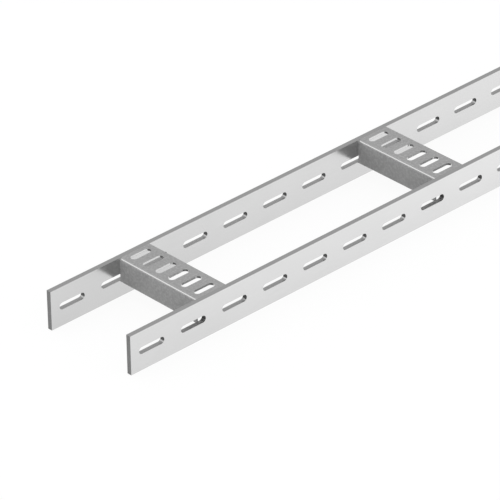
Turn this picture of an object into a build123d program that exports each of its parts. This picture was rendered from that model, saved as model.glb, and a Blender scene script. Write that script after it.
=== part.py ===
from build123d import *
import os

os.makedirs("parts", exist_ok=True)

# Cable ladder section, welded from two slotted flat bars and a row of folded
# sheet rungs. +X runs along the ladder, +Y across it and +Z up. The origin is
# the centre of the footprint, level with the rails' bottom edges. Millimetres.

# Overall
length = 2000.0
inner_width = 100.0

# Side rails, flat bar on edge with one row of slots at mid-height
rail_height = 40.0
rail_thickness = 5.0
rail_slot_length = 30.0
rail_slot_width = 7.0
rail_slot_pitch = 50.0

# Rungs, slotted sheet with one fold: a flange on top and a web in front
rung_pitch = 300.0
first_rung = 83.0
rung_depth = 36.0
web_height = 24.5
sheet_thickness = 2.0
fold_radius = 3.0
rung_slot_length = 23.0
rung_slot_width = 7.0
rung_slot_count = 6

# Places that follow from the sizes above
rail_middle = (inner_width + rail_thickness) / 2
rail_slot_count = int(length // rail_slot_pitch)
rung_slot_pitch = inner_width / rung_slot_count
rung_count = int((length - first_rung - rung_depth) // rung_pitch) + 1


def side_rail():
    """A flat bar on edge, its slots centred along it, standing on Z = 0."""
    with BuildPart() as rail:
        with BuildSketch(Plane.XZ):
            with Locations((0, rail_height / 2)):
                Rectangle(length, rail_height)
                with GridLocations(rail_slot_pitch, rail_height, rail_slot_count, 1):
                    SlotOverall(rail_slot_length, rail_slot_width, mode=Mode.SUBTRACT)
        extrude(amount=rail_thickness / 2, both=True)
    return rail.part


def rung():
    """A folded rung, front of its web at X = 0, flange level with the rails' tops."""
    top = rail_height
    web_foot = top - web_height
    inner_radius = fold_radius - sheet_thickness
    fold_centre = (fold_radius, top - fold_radius)
    with BuildPart() as folded:
        with BuildSketch(Plane.XZ):
            with BuildLine():
                Line((sheet_thickness, web_foot), (0, web_foot))
                Line((0, web_foot), (0, top - fold_radius))
                CenterArc(fold_centre, fold_radius, 180, -90)
                Line((fold_radius, top), (rung_depth, top))
                Line((rung_depth, top), (rung_depth, top - sheet_thickness))
                Line((rung_depth, top - sheet_thickness), (fold_radius, top - sheet_thickness))
                CenterArc(fold_centre, inner_radius, 90, 90)
                Line((sheet_thickness, top - fold_radius), (sheet_thickness, web_foot))
            make_face()
        extrude(amount=inner_width / 2, both=True)
        with BuildSketch(Plane.XY.offset(top)):
            with Locations((rung_depth / 2, 0)):
                with GridLocations(rung_depth, rung_slot_pitch, 1, rung_slot_count):
                    SlotOverall(rung_slot_length, rung_slot_width)
        extrude(amount=-sheet_thickness, mode=Mode.SUBTRACT)
    return folded.part


# Side rails
rail = side_rail()
export_step(Pos(0, rail_middle, 0) * rail, "parts/side_rail_left.step")
export_step(Pos(0, -rail_middle, 0) * rail, "parts/side_rail_right.step")

# Rungs, butted between the rails
one_rung = rung()
for number in range(rung_count):
    web_front = first_rung + number * rung_pitch - length / 2
    export_step(Pos(web_front, 0, 0) * one_rung, f"parts/rung_{number + 1:02d}.step")
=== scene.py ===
import math

import bpy
from mathutils import Matrix, Vector


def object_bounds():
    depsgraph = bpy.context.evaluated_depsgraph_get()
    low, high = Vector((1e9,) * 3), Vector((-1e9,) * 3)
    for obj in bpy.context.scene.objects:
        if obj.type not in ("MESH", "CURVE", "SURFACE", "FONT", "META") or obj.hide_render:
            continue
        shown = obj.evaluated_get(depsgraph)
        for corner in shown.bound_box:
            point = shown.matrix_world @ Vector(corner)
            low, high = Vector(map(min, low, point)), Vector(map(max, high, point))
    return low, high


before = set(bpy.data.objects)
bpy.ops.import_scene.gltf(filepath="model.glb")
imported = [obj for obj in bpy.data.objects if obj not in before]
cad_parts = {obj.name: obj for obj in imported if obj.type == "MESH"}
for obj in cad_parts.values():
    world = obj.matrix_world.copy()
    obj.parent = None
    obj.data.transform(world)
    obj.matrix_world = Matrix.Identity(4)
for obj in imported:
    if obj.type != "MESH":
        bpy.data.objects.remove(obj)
cad_low, cad_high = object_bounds()

# Camera. Its place is in metres. The heading is from +Y towards +X, and the dip is below level.
CAMERA_PLACE = (-3.46746, -2.86630, 2.37683)
CAMERA_HEADING = 42.9001
CAMERA_DIP = 31.0455
CAMERA_ROLL = -1.0926
CAMERA_LENS = 363.4056
CAMERA_SENSOR = 36.0
CAMERA_REACH = 100.0

# Surround: an even level overhead, which rises to the floor's white near the horizon.
# Bright metal mirrors these levels, and dull surfaces are lit SKY_GAIN times as strongly.
SKY_GAIN = 2.24
SKY_LEVEL = 0.45
HORIZON_LEVEL = 1.0
HORIZON_UP_TO = 0.02
SKY_FROM = 0.14

# A soft bright patch in the surround, to the left of the camera's view and about a third of the
# way up, which draws the light line along each fold. Edge and core are degrees from its middle.
GLOW_DIRECTION = (-0.575, 0.63, 0.525)
GLOW_EDGE = 15.0
GLOW_CORE = 6.0
GLOW_LEVEL = 0.40

# Floor. The camera and the metal's first reflections see it white to FLOOR_WHITE_SHARE and matt
# for the rest, and dull surfaces are lit by it as a matt floor. The last two are ray depths.
FLOOR_SIZE = 60.0
FLOOR_GAP = 0.0002
FLOOR_COLOR = (0.58, 0.58, 0.58, 1.0)
FLOOR_WHITE = 1.078
FLOOR_WHITE_SHARE = 0.85
FIRST_REFLECTION = 1.5
ANY_DIFFUSE_BOUNCE = 0.5

# In reflections the floor's white is multiplied by a level that rises along FLOOR_PULL. This is
# painted light on the floor, brighter towards +X and -Y, which the bright metal mirrors.
FLOOR_PULL = (0.30, -0.80, 0.0)
FLOOR_PULL_RANGE = (-0.396, -0.046)
FLOOR_PULL_LEVELS = (0.85, 1.20)

WHITE = (1.0, 1.0, 1.0, 1.0)

# A share from none to all, and the range that a noise mostly stays in
WHOLE = (0.0, 1.0)
NOISE_RANGE = (0.3, 0.7)

# Detail of the noise, for drawn-out marks, for grain, and for clouds and flecks
MARK_DETAIL = 2.0
GRAIN_DETAIL = 3.0
CLOUD_DETAIL = 4.0

# Rails: bright drawn strip. Pairs are the low and high end of a range, and the scales are
# noise cells to the metre.
RAIL_COLOR = (0.695, 0.695, 0.695)
RAIL_ROUGHNESS = 0.20
RAIL_ROUGHNESS_DRIFT = (-0.02, 0.02)
RAIL_CLOUD_SCALE = 24.0
RAIL_CLOUD_TONE = (0.985, 1.015)
RAIL_GRAIN_SCALE = 900.0
RAIL_GRAIN_HEIGHT = 0.5
LINE_SCALE = 1800.0
LINE_STRETCH = (0.02, 1.0, 1.0)
LINE_TONE = (0.98, 1.02)
RAIL_BUMP = 0.05
RAIL_BUMP_DEPTH = 0.0001

# Level faces below the rails' tops, which are the slots' long walls and the undersides, are rougher
SLOT_ROUGHNESS = 0.42
SLOT_BELOW = 0.001
SLOT_LEVELNESS = (0.8, 0.95)

# The rails' sawn ends, and the round ends of their slots except where these face up. The round
# ends' dark grey is partly their dull punched finish and partly painted shade inside the slots.
SAWN_GREY = 0.205
SAWN_ROUGHNESS = 0.50
SAWN_DEPTH = 0.0003
PUNCHED_SHADE_GREY = 0.08
PUNCHED_ROUGHNESS = 0.28
CUT_SPECULAR = 0.3
FACES_ALONG = (0.05, 0.3)
FACES_UP = (0.35, 0.6)
SAW_SCALE = 1500.0
SAW_STRETCH = (1.0, 1.0, 0.1)
SAW_TONE = (0.92, 1.08)
SAW_BUMP = 0.2
SAW_BUMP_DEPTH = 0.0001

# Rungs: dull mottled sheet
RUNG_COLOR = (0.337, 0.337, 0.337)
RUNG_ROUGHNESS = 0.26
RUNG_ROUGHNESS_DRIFT = (-0.04, 0.04)
RUNG_SPECULAR = 0.15
RUNG_CLOUD_SCALE = 30.0
RUNG_CLOUD_TONE = (0.97, 1.03)
FLECK_SCALE = 450.0
FLECK_TONE = (0.87, 1.13)
RUNG_BUMP = 0.15
RUNG_BUMP_DEPTH = 0.0002

# A painted highlight along the fold, drawn as a near-white mirror band. SLANT_SCALE makes the slant
# 1 where the sheet faces half forward and half up.
FOLD_HIGHLIGHT_COLOR = (0.97, 0.97, 0.97, 1.0)
FOLD_HIGHLIGHT_ROUGHNESS = 0.16
FOLD_HIGHLIGHT_SLANT = (0.66, 0.98)
SLANT_SCALE = -2.0

# The clean walls of the rungs' slots, and the cut rear edge of the flange
PUNCHED_DEPTH = 0.0019
WALL_FACES_UP = 0.25
WALL_TONE = (0.95, 1.05)
WALL_ROUGHNESS = (0.12, 0.20)


class Nodes:
    """Short calls for building one node tree."""

    def __init__(self, tree):
        self.tree = tree
        tree.nodes.clear()

    def add(self, kind, inputs=None, **settings):
        node = self.tree.nodes.new(kind)
        for name, value in settings.items():
            setattr(node, name, value)
        for key, value in (inputs or {}).items():
            socket = node.inputs[key]
            if isinstance(value, bpy.types.NodeSocket):
                self.tree.links.new(value, socket)
            else:
                socket.default_value = value
        return node

    def math(self, operation, first, second=0.0):
        return self.add("ShaderNodeMath", {0: first, 1: second}, operation=operation).outputs[0]

    def split(self, vector):
        return self.add("ShaderNodeSeparateXYZ", {"Vector": vector}).outputs

    def scale(self, color, factor):
        node = self.add("ShaderNodeVectorMath", {0: color, "Scale": factor}, operation="SCALE")
        return node.outputs["Vector"]

    def dot(self, first, second):
        node = self.add("ShaderNodeVectorMath", {0: first, 1: second}, operation="DOT_PRODUCT")
        return node.outputs["Value"]

    def spread(self, value, levels, over=NOISE_RANGE, **settings):
        """A value carried from the range over to the range levels."""
        node = self.add(
            "ShaderNodeMapRange",
            {"Value": value, "From Min": over[0], "From Max": over[1],
             "To Min": levels[0], "To Max": levels[1]},
            **settings,
        )
        return node.outputs["Result"]

    def noise(self, place, scale, detail, stretch=(1.0, 1.0, 1.0)):
        """A noise fixed to the surface, drawn out where stretch is small."""
        drawn = self.add("ShaderNodeVectorMath", {0: place, 1: stretch}, operation="MULTIPLY")
        node = self.add(
            "ShaderNodeTexNoise",
            {"Vector": drawn.outputs["Vector"], "Scale": scale, "Detail": detail},
        )
        return node.outputs["Fac"]

    def bump(self, height, strength, distance):
        node = self.add(
            "ShaderNodeBump", {"Height": height, "Strength": strength, "Distance": distance})
        return node.outputs["Normal"]

    def mix(self, share, first, second):
        node = self.add("ShaderNodeMixShader", {0: share, 1: first, 2: second})
        return node.outputs["Shader"]

    def principled(self, inputs):
        return self.add("ShaderNodeBsdfPrincipled", inputs).outputs["BSDF"]


def new_material(name):
    material = bpy.data.materials.new(name)
    material.use_nodes = True
    return material, Nodes(material.node_tree)


# Steel

def make_rail_steel(half_length, rail_top):
    """Bright drawn strip with faint lines and clouds. Sawn ends dull; slot ends dull, with painted
    shade.
    """
    material, nodes = new_material("rail_steel")
    surface = nodes.add("ShaderNodeTexCoord").outputs
    place = surface["Object"]
    spot = nodes.split(place)
    turned = nodes.split(surface["Normal"])
    clouds = nodes.noise(place, RAIL_CLOUD_SCALE, CLOUD_DETAIL)
    lines = nodes.noise(place, LINE_SCALE, MARK_DETAIL, LINE_STRETCH)
    grain = nodes.noise(place, RAIL_GRAIN_SCALE, GRAIN_DETAIL)

    tone = nodes.math(
        "MULTIPLY", nodes.spread(clouds, RAIL_CLOUD_TONE), nodes.spread(lines, LINE_TONE))
    drift = nodes.math(
        "ADD",
        nodes.spread(grain, RAIL_ROUGHNESS_DRIFT),
        nodes.spread(clouds, RAIL_ROUGHNESS_DRIFT),
    )
    below_top = nodes.math("LESS_THAN", spot["Z"], rail_top - SLOT_BELOW)
    slot_wall = nodes.math("MULTIPLY", nodes.math("ABSOLUTE", turned["Z"]), below_top)
    rough_there = nodes.spread(slot_wall, (RAIL_ROUGHNESS, SLOT_ROUGHNESS), SLOT_LEVELNESS)
    relief = nodes.math("ADD", lines, nodes.math("MULTIPLY", grain, RAIL_GRAIN_HEIGHT))
    face = nodes.principled({
        "Base Color": nodes.scale(RAIL_COLOR, tone),
        "Metallic": 1.0,
        "Roughness": nodes.math("ADD", drift, rough_there),
        "Normal": nodes.bump(relief, RAIL_BUMP, RAIL_BUMP_DEPTH),
    })

    far_along = nodes.math("ABSOLUTE", spot["X"])
    at_end = nodes.math("GREATER_THAN", far_along, half_length - SAWN_DEPTH)
    along = nodes.spread(nodes.math("ABSOLUTE", turned["X"]), WHOLE, FACES_ALONG)
    not_up = nodes.spread(turned["Z"], (1.0, 0.0), FACES_UP)
    saw = nodes.noise(place, SAW_SCALE, MARK_DETAIL, SAW_STRETCH)
    # Painted shade: the slots' round ends get the darker grey, except where they face up
    cut_grey_and_shade = nodes.spread(at_end, (PUNCHED_SHADE_GREY, SAWN_GREY), WHOLE)
    cut = nodes.principled({
        "Base Color": nodes.math("MULTIPLY", cut_grey_and_shade, nodes.spread(saw, SAW_TONE)),
        "Metallic": 0.0,
        "Roughness": nodes.spread(at_end, (PUNCHED_ROUGHNESS, SAWN_ROUGHNESS), WHOLE),
        "Specular IOR Level": CUT_SPECULAR,
        "Normal": nodes.bump(saw, SAW_BUMP, SAW_BUMP_DEPTH),
    })
    steel = nodes.mix(nodes.math("MULTIPLY", along, not_up), face, cut)
    nodes.add("ShaderNodeOutputMaterial", {"Surface": steel})
    return material


def make_rung_steel(sheet_top):
    """Dull mottled sheet with a painted highlight along the fold, and clean where the flange is cut.
    """
    material, nodes = new_material("rung_steel")
    surface = nodes.add("ShaderNodeTexCoord").outputs
    place = surface["Object"]
    turned = nodes.split(surface["Normal"])
    clouds = nodes.noise(place, RUNG_CLOUD_SCALE, CLOUD_DETAIL)
    flecks = nodes.noise(place, FLECK_SCALE, CLOUD_DETAIL)

    tone = nodes.math(
        "MULTIPLY", nodes.spread(clouds, RUNG_CLOUD_TONE), nodes.spread(flecks, FLECK_TONE))
    drift = nodes.spread(flecks, RUNG_ROUGHNESS_DRIFT)
    sheet = nodes.principled({
        "Base Color": nodes.scale(RUNG_COLOR, tone),
        "Metallic": 0.0,
        "Roughness": nodes.math("ADD", drift, RUNG_ROUGHNESS),
        "Specular IOR Level": RUNG_SPECULAR,
        "Normal": nodes.bump(flecks, RUNG_BUMP, RUNG_BUMP_DEPTH),
    })

    # Painted highlight: a near-white mirror band where the sheet faces half forward and half up
    painted_fold_highlight = nodes.principled(
        {"Base Color": FOLD_HIGHLIGHT_COLOR, "Metallic": 1.0, "Roughness": FOLD_HIGHLIGHT_ROUGHNESS})
    slant = nodes.math(
        "MULTIPLY", turned["X"], nodes.math("MULTIPLY", turned["Z"], SLANT_SCALE))
    sheet_and_fold_highlight = nodes.mix(nodes.spread(slant, WHOLE, FOLD_HIGHLIGHT_SLANT), sheet, painted_fold_highlight)

    wall = nodes.principled({
        "Base Color": nodes.scale(RAIL_COLOR, nodes.spread(flecks, WALL_TONE)),
        "Metallic": 1.0,
        "Roughness": nodes.spread(flecks, WALL_ROUGHNESS),
    })
    in_sheet = nodes.math("GREATER_THAN", nodes.split(place)["Z"], sheet_top - PUNCHED_DEPTH)
    upright = nodes.math("LESS_THAN", nodes.math("ABSOLUTE", turned["Z"]), WALL_FACES_UP)
    steel = nodes.mix(nodes.math("MULTIPLY", in_sheet, upright), sheet_and_fold_highlight, wall)
    nodes.add("ShaderNodeOutputMaterial", {"Surface": steel})
    return material


def dress():
    """Give every rail and rung its steel."""
    rail_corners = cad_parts["side_rail_left"].data.vertices
    rung_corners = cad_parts["rung_01"].data.vertices
    rail_steel = make_rail_steel(
        max(abs(corner.co.x) for corner in rail_corners),
        max(corner.co.z for corner in rail_corners),
    )
    rung_steel = make_rung_steel(max(corner.co.z for corner in rung_corners))
    for name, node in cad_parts.items():
        material = rung_steel if name.startswith("rung_") else rail_steel
        node.data.materials.clear()
        node.data.materials.append(material)


# Surround

def in_view(nodes, path):
    """1 for rays that show a thing to the eye, straight on, through glass or in a mirror."""
    seen = nodes.math("MAXIMUM", path["Is Camera Ray"], path["Is Transmission Ray"])
    return nodes.math("MAXIMUM", seen, path["Is Glossy Ray"])


def make_surround():
    """The surround above the floor, with the patch that the folds mirror."""
    world = bpy.data.worlds.new("surround")
    world.use_nodes = True
    world.cycles.sampling_method = "NONE"
    bpy.context.scene.world = world
    nodes = Nodes(world.node_tree)
    direction = nodes.add("ShaderNodeTexCoord").outputs["Generated"]
    sky = nodes.spread(
        nodes.split(direction)["Z"],
        (HORIZON_LEVEL, SKY_LEVEL),
        (HORIZON_UP_TO, SKY_FROM),
        interpolation_type="SMOOTHSTEP",
    )
    glow = nodes.spread(
        nodes.dot(direction, Vector(GLOW_DIRECTION).normalized()),
        (0.0, GLOW_LEVEL),
        (math.cos(math.radians(GLOW_EDGE)), math.cos(math.radians(GLOW_CORE))),
        interpolation_type="SMOOTHSTEP",
    )
    path = nodes.add("ShaderNodeLightPath").outputs
    gain = nodes.spread(in_view(nodes, path), (SKY_GAIN, 1.0), WHOLE)
    strength = nodes.math("MULTIPLY", nodes.math("ADD", sky, glow), gain)
    shader = nodes.add("ShaderNodeBackground", {"Color": WHITE, "Strength": strength})
    nodes.add("ShaderNodeOutputWorld", {"Surface": shader.outputs["Background"]})


def make_floor_material():
    """Matt to dull surfaces, mostly white to the camera and first reflections, clear from below."""
    material, nodes = new_material("floor")
    path = nodes.add("ShaderNodeLightPath").outputs
    ground = nodes.add("ShaderNodeNewGeometry").outputs
    once = nodes.math("LESS_THAN", path["Glossy Depth"], FIRST_REFLECTION)
    bounced = nodes.math("GREATER_THAN", path["Diffuse Depth"], ANY_DIFFUSE_BOUNCE)
    seen = nodes.math("MULTIPLY", in_view(nodes, path), nodes.math("MAXIMUM", once, bounced))
    # Painted light on the floor, seen only in reflections, brighter towards +X and -Y
    painted_light_level = nodes.spread(
        nodes.dot(ground["Position"], FLOOR_PULL), FLOOR_PULL_LEVELS, FLOOR_PULL_RANGE)
    mirrored = nodes.math("MULTIPLY", painted_light_level, FLOOR_WHITE)
    strength = nodes.spread(path["Is Glossy Ray"], (FLOOR_WHITE, mirrored), WHOLE)
    matt = nodes.add("ShaderNodeBsdfDiffuse", {"Color": FLOOR_COLOR}).outputs["BSDF"]
    white = nodes.add("ShaderNodeEmission", {"Color": WHITE, "Strength": strength})
    top = nodes.mix(
        nodes.math("MULTIPLY", seen, FLOOR_WHITE_SHARE), matt, white.outputs["Emission"])
    below = nodes.math("MULTIPLY", ground["Backfacing"], path["Is Camera Ray"])
    clear = nodes.add("ShaderNodeBsdfTransparent").outputs["BSDF"]
    nodes.add("ShaderNodeOutputMaterial", {"Surface": nodes.mix(below, top, clear)})
    return material


def make_floor():
    """A level pale floor just below the rails, which takes the object's soft shadow."""
    mesh = bpy.data.meshes.new("floor")
    half = FLOOR_SIZE / 2
    corners = [(-half, -half, 0), (half, -half, 0), (half, half, 0), (-half, half, 0)]
    mesh.from_pydata(corners, [], [(0, 1, 2, 3)])
    mesh.materials.append(make_floor_material())
    floor = bpy.data.objects.new("floor", mesh)
    floor.location.z = cad_low.z - FLOOR_GAP
    bpy.context.scene.collection.objects.link(floor)


def make_camera():
    """A long lens at the photograph's viewing angle."""
    angles = (CAMERA_HEADING, CAMERA_DIP, CAMERA_ROLL)
    heading, dip, roll = (math.radians(angle) for angle in angles)
    forward = Vector((
        math.cos(dip) * math.sin(heading),
        math.cos(dip) * math.cos(heading),
        -math.sin(dip),
    ))
    level_right = Vector((math.cos(heading), -math.sin(heading), 0))
    level_up = level_right.cross(forward)
    right = level_right * math.cos(roll) + level_up * math.sin(roll)
    up = level_up * math.cos(roll) - level_right * math.sin(roll)
    turn = Matrix((right, up, -forward)).transposed()
    data = bpy.data.cameras.new("camera")
    data.sensor_width = CAMERA_SENSOR
    data.lens = CAMERA_LENS
    data.clip_end = CAMERA_REACH
    camera = bpy.data.objects.new("camera", data)
    camera.matrix_world = Matrix.Translation(CAMERA_PLACE) @ turn.to_4x4()
    bpy.context.scene.collection.objects.link(camera)
    bpy.context.scene.camera = camera


dress()
make_surround()
make_floor()
make_camera()
bpy.context.scene.view_settings.view_transform = "Standard"
